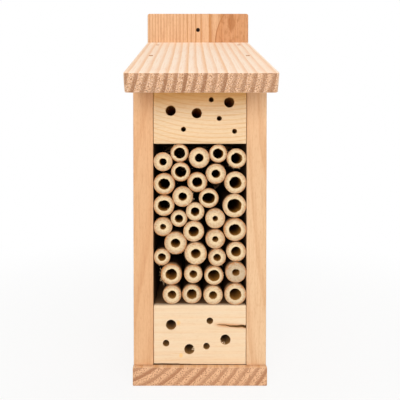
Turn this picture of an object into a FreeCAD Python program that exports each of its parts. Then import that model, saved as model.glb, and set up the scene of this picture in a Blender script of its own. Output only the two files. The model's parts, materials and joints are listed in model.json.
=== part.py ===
"""Solitary bee house: a nailed pine box with two drilled nest blocks and a bundle of bamboo canes.

Millimetres, +Z up, the open front faces -Y and x = 0 is the plane halfway between the side boards.
The origin lies on the underside of the floor board, at mid-depth of the side boards.
"""
import FreeCAD, Part
import Sketcher
import math
import os

Vector = FreeCAD.Vector

# Driving dimensions, millimetres and degrees
DIMENSIONS = {
    "inner_width": 56.0,
    "side_thickness": 12.0,
    "side_depth": 80.0,
    "floor_thickness": 11.4,
    "floor_lip": 2.4,
    "floor_reveal": 0.3,
    "back_thickness": 12.0,
    "back_rise": 22.9,
    "back_corner": 1.6,
    "hang_hole": 3.0,
    "hang_drop": 13.0,
    "roof_thickness": 10.5,
    "roof_slope": 22.4,
    "roof_eave": 35.0,
    "roof_reveal": 0.2,
    "roof_gap": 1.7,
    "edge_ease": 0.8,
    "lower_block_height": 36.3,
    "upper_block_height": 36.5,
    "upper_seam": 0.558,
    "lower_seam": 0.489,
    "block_play": 0.1,
    "block_recess": 0.5,
    "block_ease": 0.4,
    "large_drill": 6.0,
    "lower_small_drill": 3.7,
    "upper_small_drill": 2.8,
    "tube_play": 0.15,
    "brad_length": 25.0,
    "brad_shank": 1.2,
    "brad_head_long": 2.2,
    "brad_head_wide": 1.3,
    "brad_head_height": 0.9,
    "brad_set": 0.6,
    "brad_play": 0.05,
    "roof_brad_front": 17.5,
    "roof_brad_rear": 13.5,
    "roof_brad_inset": 2.9,
    "back_brad_end": 12.0,
    "floor_brad_inset": 20.0,
}

# Nest holes of each drilled block: drill, then the centre as a part of the block's width and height.
# Each block is laid in two halves, which meet at its seam, also a part of the width.
UPPER_HOLES = [
    ("large_drill", 0.186, 0.542),
    ("large_drill", 0.466, 0.501),
    ("large_drill", 0.814, 0.677),
    ("upper_small_drill", 0.621, 0.721),
    ("upper_small_drill", 0.708, 0.416),
    ("upper_small_drill", 0.323, 0.238),
    ("upper_small_drill", 0.872, 0.205),
]
LOWER_HOLES = [
    ("large_drill", 0.188, 0.672),
    ("large_drill", 0.386, 0.264),
    ("large_drill", 0.776, 0.424),
    ("lower_small_drill", 0.608, 0.738),
    ("lower_small_drill", 0.134, 0.364),
    ("lower_small_drill", 0.572, 0.314),
]

# Bamboo canes from the top row down. The level is the height of the cane's axis above the lower block,
# and the recess is how far its cut end lies behind the front of the side boards.
TUBE_SIZES = {
    "tube_01_level": 86.7, "tube_01_outer": 11.3, "tube_01_bore": 4.3, "tube_01_recess": 0.6,
    "tube_02_level": 91.3, "tube_02_outer": 10.8, "tube_02_bore": 6.5, "tube_02_recess": 1.0,
    "tube_03_level": 88.9, "tube_03_outer": 12.3, "tube_03_bore": 5.0, "tube_03_recess": 0.2,
    "tube_04_level": 91.4, "tube_04_outer": 10.8, "tube_04_bore": 6.0, "tube_04_recess": 1.4,
    "tube_05_level": 88.7, "tube_05_outer": 11.7, "tube_05_bore": 6.5, "tube_05_recess": 0.8,
    "tube_06_level": 80.3, "tube_06_outer": 11.4, "tube_06_bore": 6.6, "tube_06_recess": 0.4,
    "tube_07_level": 79.3, "tube_07_outer": 12.0, "tube_07_bore": 5.0, "tube_07_recess": 0.9,
    "tube_08_level": 73.5, "tube_08_outer": 12.8, "tube_08_bore": 6.6, "tube_08_recess": 0.0,
    "tube_09_level": 74.1, "tube_09_outer": 11.8, "tube_09_bore": 5.9, "tube_09_recess": 1.2,
    "tube_10_level": 74.0, "tube_10_outer": 13.1, "tube_10_bore": 7.0, "tube_10_recess": 0.5,
    "tube_11_level": 65.4, "tube_11_outer": 12.2, "tube_11_bore": 4.9, "tube_11_recess": 0.7,
    "tube_12_level": 64.8, "tube_12_outer": 11.8, "tube_12_bore": 6.9, "tube_12_recess": 1.8,
    "tube_13_level": 60.3, "tube_13_outer": 12.4, "tube_13_bore": 6.7, "tube_13_recess": 0.3,
    "tube_14_level": 60.1, "tube_14_outer": 14.1, "tube_14_bore": 8.2, "tube_14_recess": 0.6,
    "tube_15_level": 56.5, "tube_15_outer": 11.0, "tube_15_bore": 5.1, "tube_15_recess": 1.1,
    "tube_16_level": 52.1, "tube_16_outer": 10.0, "tube_16_bore": 4.8, "tube_16_recess": 1.5,
    "tube_17_level": 52.4, "tube_17_outer": 11.8, "tube_17_bore": 3.2, "tube_17_recess": 0.2,
    "tube_18_level": 47.5, "tube_18_outer": 11.2, "tube_18_bore": 3.4, "tube_18_recess": 0.9,
    "tube_19_level": 44.6, "tube_19_outer": 12.4, "tube_19_bore": 6.0, "tube_19_recess": 0.5,
    "tube_20_level": 45.7, "tube_20_outer": 13.6, "tube_20_bore": 6.9, "tube_20_recess": 0.0,
    "tube_21_level": 37.4, "tube_21_outer": 13.4, "tube_21_bore": 5.4, "tube_21_recess": 0.8,
    "tube_22_level": 40.0, "tube_22_outer": 11.6, "tube_22_bore": 3.5, "tube_22_recess": 0.4,
    "tube_23_level": 31.2, "tube_23_outer": 13.3, "tube_23_bore": 5.6, "tube_23_recess": 0.6,
    "tube_24_level": 32.2, "tube_24_outer": 11.9, "tube_24_bore": 5.8, "tube_24_recess": 1.3,
    "tube_25_level": 29.2, "tube_25_outer": 9.9, "tube_25_bore": 4.6, "tube_25_recess": 1.0,
    "tube_26_level": 28.8, "tube_26_outer": 10.5, "tube_26_bore": 4.3, "tube_26_recess": 0.7,
    "tube_27_level": 18.7, "tube_27_outer": 12.6, "tube_27_bore": 6.6, "tube_27_recess": 0.3,
    "tube_28_level": 18.7, "tube_28_outer": 11.0, "tube_28_bore": 4.5, "tube_28_recess": 0.9,
    "tube_29_level": 17.9, "tube_29_outer": 11.4, "tube_29_bore": 6.8, "tube_29_recess": 0.5,
    "tube_30_level": 19.9, "tube_30_outer": 12.4, "tube_30_bore": 4.2, "tube_30_recess": 0.1,
    "tube_31_level": 6.1, "tube_31_outer": 11.3, "tube_31_bore": 4.9, "tube_31_recess": 1.1,
    "tube_32_level": 6.3, "tube_32_outer": 11.6, "tube_32_bore": 5.9, "tube_32_recess": 1.5,
    "tube_33_level": 6.0, "tube_33_outer": 11.5, "tube_33_bore": 4.7, "tube_33_recess": 0.4,
    "tube_34_level": 6.6, "tube_34_outer": 13.0, "tube_34_bore": 6.9, "tube_34_recess": 0.2,
}

# Lanes of the same canes, from 0 at the left side board to 1 at the right one
TUBE_LANES = [
    0.00, 0.22, 0.49, 0.75, 1.00, 0.24, 0.72, 0.00, 0.46, 1.00, 0.26, 0.61,
    0.00, 1.00, 0.43, 0.22, 0.71, 0.00, 0.41, 1.00, 0.15, 0.71, 0.44, 1.00,
    0.00, 0.73, 0.10, 0.41, 0.69, 1.00, 0.12, 0.39, 0.68, 1.00,
]

# How the settling of the canes ends, and how far a brad's pit is cut past the board's surface
SETTLE_ROUNDS = 4000
SETTLE_END = 0.002
PIT_OVERRUN = 1.0

# How closely an edge has to lie at a place, and how far a drilled volume may be off
PLACE_TOLERANCE = 1e-4
VOLUME_TOLERANCE = 0.01

doc = FreeCAD.newDocument("BeeHouse")
nodes = []


def add_sheet(name, values):
    """A spreadsheet with one aliased number per row."""
    sheet = doc.addObject("Spreadsheet::Sheet", name)
    for row, (alias, number) in enumerate(values.items(), start=1):
        sheet.set(f"A{row}", alias)
        sheet.set(f"B{row}", str(number))
        sheet.setAlias(f"B{row}", alias)
    doc.recompute()
    return sheet


def tube_alias(number, field):
    return f"tube_{number:02d}_{field}"


def hole_alias(block, number, field):
    return f"{block}_hole_{number}_{field}"


def driving_values():
    """Every driving dimension: the named sizes, the nest holes and the canes."""
    values = dict(DIMENSIONS)
    for block, holes in (("upper", UPPER_HOLES), ("lower", LOWER_HOLES)):
        for number, (_, across, up) in enumerate(holes, start=1):
            values[hole_alias(block, number, "across")] = across
            values[hole_alias(block, number, "up")] = up
    for number, lane in enumerate(TUBE_LANES, start=1):
        values[tube_alias(number, "lane")] = lane
    values.update(TUBE_SIZES)
    return values


sizes = add_sheet("Sizes", driving_values())


def size(alias):
    return float(sizes.get(alias))


def settle_tubes():
    """Places of the canes: each starts at its lane and level, and canes that overlap push each other off."""
    play = size("tube_play")
    radii = []
    places = []
    for number in range(1, len(TUBE_LANES) + 1):
        radius = size(tube_alias(number, "outer")) / 2
        reach = size("inner_width") / 2 - radius - play
        lane = size(tube_alias(number, "lane"))
        radii.append(radius)
        places.append([(2 * lane - 1) * reach, size(tube_alias(number, "level"))])
    for _ in range(SETTLE_ROUNDS):
        lack = 0.0
        for place, radius in zip(places, radii):
            reach = size("inner_width") / 2 - radius - play
            kept = [max(-reach, min(reach, place[0])), max(radius + play, place[1])]
            lack = max(lack, abs(kept[0] - place[0]), abs(kept[1] - place[1]))
            place[:] = kept
        for i, first in enumerate(places):
            for j, second in enumerate(places[:i]):
                across = first[0] - second[0]
                up = first[1] - second[1]
                apart = math.hypot(across, up)
                push = (radii[i] + radii[j] + play - apart) / 2
                if push <= 0:
                    continue
                lack = max(lack, push)
                step = push / apart
                first[:] = [first[0] + across * step, first[1] + up * step]
                second[:] = [second[0] - across * step, second[1] - up * step]
        if lack < SETTLE_END:
            break
    top = max(place[1] + radius for place, radius in zip(places, radii))
    return places, top + play


tube_places, stack_height = settle_tubes()


def worked_values():
    """Sizes and heights that follow from the driving dimensions."""
    rise = math.tan(math.radians(size("roof_slope")))
    lower_top = size("floor_thickness") + size("lower_block_height")
    upper_bottom = lower_top + stack_height
    side_front = upper_bottom + size("upper_block_height") + size("roof_gap")
    roof_plumb = size("roof_thickness") / math.cos(math.radians(size("roof_slope")))
    roof_rear = side_front + size("side_depth") * rise + roof_plumb
    return {
        "box_width": size("inner_width") + 2 * size("side_thickness"),
        "block_width": size("inner_width") - 2 * size("block_play"),
        "block_depth": size("side_depth") - size("block_recess"),
        "lower_top": lower_top,
        "upper_bottom": upper_bottom,
        "side_front": side_front,
        "roof_plumb": roof_plumb,
        "roof_rear": roof_rear,
        "back_height": roof_rear + size("back_rise"),
    }


worked = worked_values()
add_sheet("Worked", worked)

half_depth = size("side_depth") / 2
slope = math.radians(size("roof_slope"))


def new_body(name):
    return doc.addObject("PartDesign::Body", name)


def new_sketch(body, role, name):
    """A sketch on one of the body's own origin planes."""
    plane = next(feature for feature in body.Origin.OriginFeatures if feature.Role == role)
    sketch = body.newObject("Sketcher::SketchObject", name)
    sketch.AttachmentSupport = [(plane, "")]
    sketch.MapMode = "FlatFace"
    return sketch


def add_loop(sketch, corners):
    """A closed outline of straight lines through the corners, joined end to end."""
    count = len(corners)
    first = sketch.GeometryCount
    for index in range(count):
        start = Vector(*corners[index], 0)
        end = Vector(*corners[(index + 1) % count], 0)
        sketch.addGeometry(Part.LineSegment(start, end))
    for index in range(count):
        after = first + (index + 1) % count
        sketch.addConstraint(Sketcher.Constraint("Coincident", first + index, 2, after, 1))
    return first


def bind(sketch, kind, *where, name, expression):
    """A named dimension of the sketch, tied to the sheets by an expression."""
    index = sketch.addConstraint(Sketcher.Constraint(kind, *where, doc_value(expression)))
    sketch.renameConstraint(index, name)
    sketch.setExpression(f"Constraints.{name}", expression)


def doc_value(expression):
    """The number that an expression on the sheets gives now."""
    value = sizes.evalExpression(expression)
    return float(getattr(value, "Value", value))


def add_rectangle(sketch, width, height):
    """A rectangle from the sketch's origin, with its two sizes tied to the sheets."""
    across = doc_value(width)
    up = doc_value(height)
    line = add_loop(sketch, [(0, 0), (across, 0), (across, up), (0, up)])
    for index, kind in enumerate(("Horizontal", "Vertical", "Horizontal", "Vertical")):
        sketch.addConstraint(Sketcher.Constraint(kind, line + index))
    sketch.addConstraint(Sketcher.Constraint("Coincident", line, 1, -1, 1))
    bind(sketch, "DistanceX", line, 1, line, 2, name="across", expression=width)
    bind(sketch, "DistanceY", line + 1, 1, line + 1, 2, name="up", expression=height)


def add_circle(sketch, name, diameter, across, up):
    """A circle whose diameter and centre are tied to the sheets."""
    centre = Vector(doc_value(across), doc_value(up), 0)
    circle = sketch.addGeometry(Part.Circle(centre, Vector(0, 0, 1), doc_value(diameter) / 2))
    bind(sketch, "Diameter", circle, name=f"{name}_diameter", expression=diameter)
    bind(sketch, "DistanceX", -1, 1, circle, 3, name=f"{name}_across", expression=across)
    bind(sketch, "DistanceY", -1, 1, circle, 3, name=f"{name}_up", expression=up)


def add_pad(body, sketch, length, reverse=False):
    pad = body.newObject("PartDesign::Pad", f"{body.Name}_pad")
    pad.Profile = sketch
    pad.setExpression("Length", length)
    pad.Reversed = reverse
    doc.recompute()
    return pad


def ease_edges(body, feature, chosen, radius):
    """Rounds the edges of the body's last feature that the test picks out."""
    names = [f"Edge{i}" for i, edge in enumerate(feature.Shape.Edges, start=1) if chosen(edge)]
    fillet = body.newObject("PartDesign::Fillet", f"{feature.Name}_eased")
    fillet.Base = (feature, names)
    fillet.setExpression("Radius", radius)
    doc.recompute()
    return fillet


def lies_at(edge, axis, place):
    """True where the whole edge lies at one place along an axis."""
    box = edge.BoundBox
    low = getattr(box, f"{axis}Min")
    high = getattr(box, f"{axis}Max")
    return max(abs(low - place), abs(high - place)) < PLACE_TOLERANCE


def cut_seats(label, body, seats):
    """The finished board: its body less the seats of the brads that pass into it."""
    tool = doc.addObject("Part::MultiFuse", f"{label}_seats")
    tool.Shapes = seats
    board = doc.addObject("Part::Cut", label)
    board.Base = body
    board.Tool = tool
    add_node(board, label)


def add_node(item, label):
    item.Label = label
    nodes.append(item)


def make_brad(name, point, outward, head_along):
    """A T-head brad of square wire, driven in at a point of a board's surface, and the seat it leaves."""
    z_axis = Vector(outward).normalize()
    x_axis = Vector(head_along).normalize()
    frame = FreeCAD.Placement(point, FreeCAD.Rotation(x_axis, z_axis.cross(x_axis), z_axis, "ZXY"))
    play = size("brad_play")

    def block(title, margin, margin_size, low, height):
        box = doc.addObject("Part::Box", f"{name}_{title}")
        box.setExpression("Length", f"Sizes.brad_head_long + 2 * {margin_size}")
        box.setExpression("Width", f"Sizes.brad_head_wide + 2 * {margin_size}")
        box.setExpression("Height", height)
        corner = Vector(-size("brad_head_long") / 2 - margin, -size("brad_head_wide") / 2 - margin, low)
        box.Placement = frame * FreeCAD.Placement(corner, FreeCAD.Rotation())
        return box

    def wire(title, margin, margin_size):
        shank = doc.addObject("Part::Box", f"{name}_{title}")
        shank.setExpression("Length", f"Sizes.brad_shank + 2 * {margin_size}")
        shank.setExpression("Width", f"Sizes.brad_shank + 2 * {margin_size}")
        shank.setExpression("Height", f"Sizes.brad_length + {margin_size}")
        half = size("brad_shank") / 2 + margin
        foot = Vector(-half, -half, -size("brad_set") - size("brad_length") - margin)
        shank.Placement = frame * FreeCAD.Placement(foot, FreeCAD.Rotation())
        return shank

    head_low = -size("brad_set") - size("brad_head_height")
    brad = doc.addObject("Part::Fuse", name)
    brad.Base = block("head", 0, "0", head_low, "Sizes.brad_head_height")
    brad.Tool = wire("shank", 0, "0")
    pit_height = f"Sizes.brad_head_height + Sizes.brad_set + Sizes.brad_play + {PIT_OVERRUN}"
    seat = doc.addObject("Part::Fuse", f"{name}_seat")
    seat.Base = block("pit", play, "Sizes.brad_play", head_low - play, pit_height)
    seat.Tool = wire("slot", play, "Sizes.brad_play")
    return brad, seat


def make_brads(label, drives, outward, head_along):
    """A node of like brads, one for each surface point, and their seats."""
    pairs = []
    for number, point in enumerate(drives, start=1):
        pairs.append(make_brad(f"{label}_{number}", point, outward, head_along))
    group = doc.addObject("Part::Compound", label)
    group.Links = [brad for brad, _ in pairs]
    add_node(group, label)
    return [seat for _, seat in pairs]


# Brads, driven at the middle of the side boards' thickness, but from the roof nearer to their inner faces

side_middle = (size("inner_width") + size("side_thickness")) / 2
roof_line = size("inner_width") / 2 + size("roof_brad_inset")


def roof_top(y):
    """Height of the roof's upper face above a place along Y."""
    return worked["roof_rear"] - (half_depth - y) * math.tan(slope)


roof_rows = [-half_depth + size("roof_brad_front"), half_depth - size("roof_brad_rear")]
back_rows = [
    worked["lower_top"] + size("back_brad_end"),
    (worked["lower_top"] + worked["upper_bottom"]) / 2,
    worked["upper_bottom"] - size("back_brad_end"),
]
floor_rows = [-half_depth + size("floor_brad_inset"), half_depth - size("floor_brad_inset")]
back_face = half_depth + size("back_thickness")

roof_points = [Vector(side * roof_line, y, roof_top(y)) for side in (-1, 1) for y in roof_rows]
back_points = [Vector(side * side_middle, back_face, z) for side in (-1, 1) for z in back_rows]
floor_points = [Vector(side * side_middle, y, 0) for side in (-1, 1) for y in floor_rows]

roof_normal = Vector(0, -math.sin(slope), math.cos(slope))
roof_seats = make_brads("roof_brads", roof_points, roof_normal, Vector(1, 0, 0))
back_seats = make_brads("back_brads", back_points, Vector(0, 1, 0), Vector(1, 0, 0))
floor_seats = make_brads("floor_brads", floor_points, Vector(0, 0, -1), Vector(1, 0, 0))


def half_of(seats, side):
    """The seats of one side board, from a list that holds the left board's first."""
    middle = len(seats) // 2
    return seats[:middle] if side < 0 else seats[middle:]


# Boards


def make_side_board(label, side):
    """An upright whose top is cut to the roof's slope."""
    body = new_body(f"{label}_body")
    sketch = new_sketch(body, "YZ_Plane", f"{label}_outline")
    depth = size("side_depth")
    low = size("floor_thickness")
    front = worked["side_front"]
    rear = front + depth * math.tan(slope)
    line = add_loop(sketch, [(0, low), (depth, low), (depth, rear), (0, front)])
    sketch.addConstraint(Sketcher.Constraint("Horizontal", line))
    sketch.addConstraint(Sketcher.Constraint("Vertical", line + 1))
    sketch.addConstraint(Sketcher.Constraint("Vertical", line + 3))
    sketch.addConstraint(Sketcher.Constraint("PointOnObject", line, 1, -2))
    bind(sketch, "DistanceX", line, 1, line, 2, name="depth", expression="Sizes.side_depth")
    bind(sketch, "DistanceY", -1, 1, line, 1, name="foot", expression="Sizes.floor_thickness")
    bind(sketch, "DistanceY", -1, 1, line + 3, 1, name="front", expression="Worked.side_front")
    rise = "Worked.side_front + Sizes.side_depth * tan(Sizes.roof_slope * 1 deg)"
    bind(sketch, "DistanceY", -1, 1, line + 2, 1, name="rear", expression=rise)
    pad = add_pad(body, sketch, "Sizes.side_thickness")
    ease_edges(body, pad, lambda edge: lies_at(edge, "Y", 0) and not lies_at(edge, "Z", low)
               and not lies_at(edge, "Z", front), "Sizes.block_ease")
    inner = size("inner_width") / 2
    start = inner if side > 0 else -inner - size("side_thickness")
    body.Placement = FreeCAD.Placement(Vector(start, -half_depth, 0), FreeCAD.Rotation())
    passing = half_of(roof_seats, side) + half_of(back_seats, side) + half_of(floor_seats, side)
    cut_seats(label, body, passing)


def make_floor_board():
    """The board under the side boards, proud of them in front."""
    body = new_body("floor_board_body")
    sketch = new_sketch(body, "YZ_Plane", "floor_board_outline")
    add_rectangle(sketch, "Sizes.side_depth + Sizes.floor_lip", "Sizes.floor_thickness")
    width = worked["box_width"] + 2 * size("floor_reveal")
    rear = size("side_depth") + size("floor_lip")
    pad = add_pad(body, sketch, "Worked.box_width + 2 * Sizes.floor_reveal")
    ease_edges(body, pad, lambda edge: not lies_at(edge, "Y", rear), "Sizes.edge_ease")
    corner = Vector(-width / 2, -half_depth - size("floor_lip"), 0)
    body.Placement = FreeCAD.Placement(corner, FreeCAD.Rotation())
    cut_seats("floor_board", body, floor_seats)


def make_roof_board():
    """The roof, square-cut in front and cut upright against the back board."""
    body = new_body("roof_board_body")
    sketch = new_sketch(body, "YZ_Plane", "roof_board_outline")
    run = size("side_depth") + size("roof_eave")
    setback = size("roof_thickness") * math.sin(slope)
    drop = run * math.tan(slope)
    plumb = worked["roof_plumb"]
    front_low = (setback - run, -drop - size("roof_thickness") * math.cos(slope))
    line = add_loop(sketch, [(0, 0), (-run, -drop), front_low, (0, -plumb)])
    sketch.addConstraint(Sketcher.Constraint("Coincident", line, 1, -1, 1))
    sketch.addConstraint(Sketcher.Constraint("Vertical", line + 3))
    sketch.addConstraint(Sketcher.Constraint("Parallel", line, line + 2))
    sketch.addConstraint(Sketcher.Constraint("Perpendicular", line, line + 1))
    bind(sketch, "DistanceX", line, 2, -1, 1, name="run", expression="Sizes.side_depth + Sizes.roof_eave")
    fall = "(Sizes.side_depth + Sizes.roof_eave) * tan(Sizes.roof_slope * 1 deg)"
    bind(sketch, "DistanceY", line, 2, -1, 1, name="fall", expression=fall)
    bind(sketch, "Distance", line + 1, name="thickness", expression="Sizes.roof_thickness")
    width = worked["box_width"] + 2 * size("roof_reveal")
    pad = add_pad(body, sketch, "Worked.box_width + 2 * Sizes.roof_reveal")
    ease_edges(body, pad, lambda edge: not lies_at(edge, "Y", 0), "Sizes.edge_ease")
    corner = Vector(-width / 2, half_depth, worked["roof_rear"])
    body.Placement = FreeCAD.Placement(corner, FreeCAD.Rotation())
    cut_seats("roof_board", body, roof_seats)


def make_back_board():
    """The full-height back, with the hanging hole above the roof."""
    body = new_body("back_board_body")
    sketch = new_sketch(body, "XZ_Plane", "back_board_outline")
    add_rectangle(sketch, "Worked.box_width", "Worked.back_height")
    hang_height = "Worked.back_height - Sizes.hang_drop"
    add_circle(sketch, "hang", "Sizes.hang_hole", "Worked.box_width / 2", hang_height)
    pad = add_pad(body, sketch, "Sizes.back_thickness")
    width = worked["box_width"]
    height = worked["back_height"]

    def is_top_corner(edge):
        at_side = lies_at(edge, "X", 0) or lies_at(edge, "X", width)
        return at_side and lies_at(edge, "Z", height)

    ease_edges(body, pad, is_top_corner, "Sizes.back_corner")
    body.Placement = FreeCAD.Placement(Vector(-width / 2, back_face, 0), FreeCAD.Rotation())
    cut_seats("back_board", body, back_seats)


# Drilled blocks


def make_half_block(which, side, holes, bottom):
    """One half of a block, glued to its side board, with nest holes drilled through to the back board."""
    label = f"{which}_block_{side}"
    seam = size(f"{which}_seam")
    start = 0 if side == "left" else seam
    width = f"Sizes.{which}_seam" if side == "left" else f"(1 - Sizes.{which}_seam)"
    origin = "0" if side == "left" else f"Sizes.{which}_seam"
    height = f"Sizes.{which}_block_height"
    body = new_body(f"{label}_body")
    outline = new_sketch(body, "XZ_Plane", f"{label}_outline")
    add_rectangle(outline, f"{width} * Worked.block_width", height)
    pad = add_pad(body, outline, "Worked.block_depth", reverse=True)
    seam_at = pad.Shape.BoundBox.XMax if side == "left" else 0
    eased = ease_edges(body, pad, lambda edge: lies_at(edge, "Y", 0) and not lies_at(edge, "X", seam_at),
                       "Sizes.block_ease")
    drilled = new_sketch(body, "XZ_Plane", f"{label}_holes")
    drilled_out = 0.0
    for number, (drill, _, _) in enumerate(holes, start=1):
        place = hole_alias(which, number, "across")
        if (size(place) < seam) != (side == "left"):
            continue
        across = f"(Sizes.{place} - {origin}) * Worked.block_width"
        up = f"Sizes.{hole_alias(which, number, 'up')} * {height}"
        add_circle(drilled, f"nest_{number}", f"Sizes.{drill}", across, up)
        drilled_out += math.pi * size(drill) ** 2 / 4 * worked["block_depth"]
    pocket = body.newObject("PartDesign::Pocket", f"{label}_nests")
    pocket.Profile = drilled
    pocket.setExpression("Length", "Worked.block_depth")
    doc.recompute()
    removed = eased.Shape.Volume - pocket.Shape.Volume
    if abs(removed - drilled_out) > VOLUME_TOLERANCE * drilled_out:
        raise RuntimeError(f"{label}: its nest holes take out {removed:.0f}, not {drilled_out:.0f} mm3")
    corner = Vector((start - 0.5) * worked["block_width"], size("block_recess") - half_depth, bottom)
    body.Placement = FreeCAD.Placement(corner, FreeCAD.Rotation())
    add_node(body, label)


# Bamboo canes


def make_tube(number, place):
    """A cane lying front to back, its rear end on the back board."""
    label = f"bamboo_tube_{number:02d}"
    seat = Vector(place[0], half_depth, worked["lower_top"] + place[1])
    lying = FreeCAD.Placement(seat, FreeCAD.Rotation(Vector(1, 0, 0), 90))

    def rod(field):
        cylinder = doc.addObject("Part::Cylinder", f"{label}_{field}")
        cylinder.setExpression("Radius", f"Sizes.{tube_alias(number, field)} / 2")
        cylinder.setExpression("Height", f"Sizes.side_depth - Sizes.{tube_alias(number, 'recess')}")
        cylinder.Placement = lying
        return cylinder

    tube = doc.addObject("Part::Cut", label)
    tube.Base = rod("outer")
    tube.Tool = rod("bore")
    add_node(tube, label)


make_back_board()
make_roof_board()
make_floor_board()
make_side_board("left_side_board", -1)
make_side_board("right_side_board", 1)
for half in ("left", "right"):
    make_half_block("upper", half, UPPER_HOLES, worked["upper_bottom"])
    make_half_block("lower", half, LOWER_HOLES, size("floor_thickness"))
for tube_number, tube_place in enumerate(tube_places, start=1):
    make_tube(tube_number, tube_place)

doc.recompute()

# Every object has to be sound before anything is written
for item in doc.Objects:
    if "Invalid" in item.State or "Error" in item.State:
        raise RuntimeError(f"{item.Label} failed: {item.State}")
for item in nodes:
    if item.Shape.isNull() or not item.Shape.isValid():
        raise RuntimeError(f"{item.Label} has no valid shape")

os.makedirs("parts", exist_ok=True)
for item in nodes:
    item.Shape.exportStep(f"parts/{item.Label}.step")
    box = item.Shape.BoundBox
    print(f"{item.Label}: {len(item.Shape.Solids)} solid(s), {item.Shape.Volume:.1f} mm3, "
          f"x {box.XMin:.1f} to {box.XMax:.1f}, y {box.YMin:.1f} to {box.YMax:.1f}, "
          f"z {box.ZMin:.1f} to {box.ZMax:.1f}")
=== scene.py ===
"""Looks of a solitary bee house: pine boards, two drilled nest blocks and a bundle of bamboo canes."""

import json
import math
import random
from collections import namedtuple

import bmesh
import bpy
from mathutils import Matrix, Vector

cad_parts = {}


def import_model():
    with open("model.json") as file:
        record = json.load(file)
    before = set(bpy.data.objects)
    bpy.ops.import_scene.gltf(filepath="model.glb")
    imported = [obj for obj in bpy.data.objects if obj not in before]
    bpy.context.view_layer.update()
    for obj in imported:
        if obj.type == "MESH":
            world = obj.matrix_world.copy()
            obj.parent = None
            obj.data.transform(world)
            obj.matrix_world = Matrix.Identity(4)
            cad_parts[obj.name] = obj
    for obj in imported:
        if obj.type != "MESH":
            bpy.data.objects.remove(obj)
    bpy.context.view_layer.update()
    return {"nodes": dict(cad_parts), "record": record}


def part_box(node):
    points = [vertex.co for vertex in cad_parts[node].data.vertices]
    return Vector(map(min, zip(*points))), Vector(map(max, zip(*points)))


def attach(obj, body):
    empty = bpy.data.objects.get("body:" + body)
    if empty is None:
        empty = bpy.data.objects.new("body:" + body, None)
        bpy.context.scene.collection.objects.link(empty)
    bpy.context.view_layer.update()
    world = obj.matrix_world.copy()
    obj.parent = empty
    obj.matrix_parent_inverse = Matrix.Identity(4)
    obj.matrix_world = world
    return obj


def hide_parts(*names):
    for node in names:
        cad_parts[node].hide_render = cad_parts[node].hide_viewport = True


bl_info = {
    "name": "Solitary bee house",
    "version": (1, 0, 0),
    "blender": (4, 5, 0),
    "location": "View3D > Sidebar > Bee House",
    "description": "Boards, drilled blocks and bamboo canes of a solitary bee house, with their finishes",
    "category": "Object",
}

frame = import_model()
CANES = sorted(node for node in frame["nodes"] if node.startswith("bamboo_tube"))
BRADS = sorted(node for node in frame["nodes"] if node.endswith("_brads"))

# A millimetre in metres, and in millimetres the front of the house along Y and its inner faces along X
MM = 0.001
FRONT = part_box("left_side_board")[0].y / MM
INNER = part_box("right_side_board")[0].x / MM

# Directions, and the turn that lays an upright rod along Y
SIDEWAYS = Vector((1.0, 0.0, 0.0))
BACKWARD = Vector((0.0, 1.0, 0.0))
UPWARD = Vector((0.0, 0.0, 1.0))
LAID = (math.pi / 2, 0.0, 0.0)

# The most that wear takes off a board, and the angles from which an edge shades sharp or is an arris
WEAR = 0.0001
SHARP = math.radians(32)
ARRIS = 1.0


# Properties that a user would change


def tint(title, text, default):
    """A colour, in linear light."""
    return bpy.props.FloatVectorProperty(
        name=title, description=text, default=default, size=3, min=0.0, max=1.0, subtype="COLOR")


def length(title, text, default):
    """A length in metres."""
    return bpy.props.FloatProperty(name=title, description=text, default=default, min=0.0, unit="LENGTH")


def amount(title, text, default):
    """A share from nothing to all."""
    return bpy.props.FloatProperty(
        name=title, description=text, default=default, min=0.0, max=1.0, subtype="FACTOR")


def angle(title, text, default):
    """An angle, given in degrees."""
    return bpy.props.FloatProperty(
        name=title, description=text, default=math.radians(default), unit="ROTATION")


class BackTimber(bpy.types.PropertyGroup):
    """The board at the back, with its grain upright."""

    pale: tint("Pale wood", "Colour between the growth rings", (0.73, 0.445, 0.26))
    ring: tint("Ring line", "Colour of the growth rings", (0.52, 0.235, 0.085))
    end_pale: tint("End wood", "Colour between the rings on the cut ends", (0.68, 0.41, 0.24))
    end_dark: tint("End ring", "Colour of the rings on the cut ends", (0.36, 0.16, 0.06))
    heart: tint("Heartwood", "Colour of the darker side of the board", (0.60, 0.29, 0.135))
    # Painted shade: the hanging hole's and the brads' slots' walls are nearly black.
    drilled: tint("Drilled wall", "Colour of the walls of the hanging hole", (0.05, 0.02, 0.008))
    ring_width: length("Ring width", "Distance from ring to ring", 0.00197)
    corner: length("Corner", "Rounding of the two upper corners", 0.0016)
    ease: length("Eased edge", "Rounding of the other edges", 0.0007)


class RoofTimber(bpy.types.PropertyGroup):
    """The sloping roof, with its grain down the slope."""

    pale: tint("Pale wood", "Colour between the growth rings", (0.95, 0.79, 0.655))
    ring: tint("Ring line", "Colour of the growth rings", (0.86, 0.55, 0.34))
    end_pale: tint("End wood", "Colour between the rings on the cut ends", (0.645, 0.395, 0.24))
    end_dark: tint("End ring", "Colour of the rings on the cut ends", (0.27, 0.115, 0.05))
    ring_width: length("Ring width", "Distance from ring to ring", 0.0050)
    thickness: length("Thickness", "Thickness of the roof board", 0.0105)
    overhang: length("Eave", "How far the roof stands out in front of the side boards", 0.035)
    slope: angle("Slope", "Fall of the roof to the front", 22.4)
    ease: length("Eased edge", "Rounding of the edges", 0.0007)
    corner: length("Corner", "Rounding of the two front corners", 0.0019)
    # Painted shade in the brads' slots, darker than the roof.
    pit: tint("Brad slot", "Colour of the walls of the brads' slots", (0.46, 0.19, 0.035))


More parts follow.
